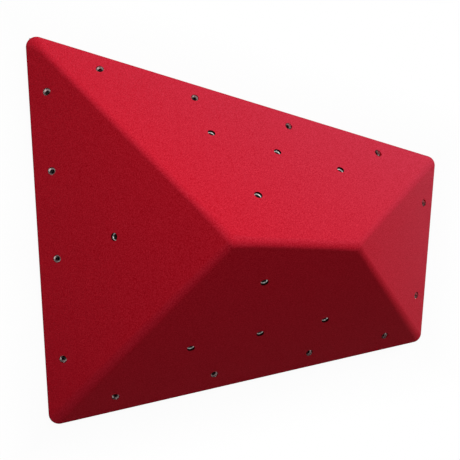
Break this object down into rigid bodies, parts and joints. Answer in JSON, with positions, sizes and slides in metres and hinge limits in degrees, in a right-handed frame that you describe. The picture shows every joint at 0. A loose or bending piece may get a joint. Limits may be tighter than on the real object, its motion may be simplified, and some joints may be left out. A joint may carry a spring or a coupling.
{
  "type": "climbing volume",
  "caption": "Hollow four-sided climbing volume with soft ridges, countersunk screw cups round its rim and threaded inserts for bolt-on holds.",
  "frame": {"origin": "middle of the object's box, on the wall plane", "axes": "+Z away from the wall it screws to, +X right and +Y up as it hangs, with the long edge that is upright at -X"},
  "size_m": [0.724, 0.6506, 0.249],
  "materials": {
    "gel_coat": "sanded, rough",
    "bright_steel": "bright",
    "zinc_steel": "zinc plated",
    "birch_plywood": "sanded"
  },
  "bodies": {
    "root": {"moulded_skin": "gel_coat", "screw_cup_left_1": "bright_steel", "screw_cup_left_2": "bright_steel", "screw_cup_left_3": "bright_steel", "screw_cup_left_4": "bright_steel", "screw_cup_bottom_1": "bright_steel", "screw_cup_bottom_2": "bright_steel", "screw_cup_bottom_3": "bright_steel", "screw_cup_bottom_4": "bright_steel", "screw_cup_right_1": "bright_steel", "screw_cup_right_2": "bright_steel", "screw_cup_top_1": "bright_steel", "screw_cup_top_2": "bright_steel", "screw_cup_top_3": "bright_steel", "screw_cup_top_4": "bright_steel", "nut_pad_left_1": "birch_plywood", "t_nut_left_1": "zinc_steel", "nut_pad_bottom_1": "birch_plywood", "t_nut_bottom_1": "zinc_steel", "nut_pad_bottom_2": "birch_plywood", "t_nut_bottom_2": "zinc_steel", "nut_pad_bottom_3": "birch_plywood", "t_nut_bottom_3": "zinc_steel", "nut_pad_bottom_4": "birch_plywood", "t_nut_bottom_4": "zinc_steel", "nut_pad_top_1": "birch_plywood", "t_nut_top_1": "zinc_steel", "nut_pad_top_2": "birch_plywood", "t_nut_top_2": "zinc_steel", "nut_pad_top_3": "birch_plywood", "t_nut_top_3": "zinc_steel", "nut_pad_top_4": "birch_plywood", "t_nut_top_4": "zinc_steel"}
  },
  "joints": []
}
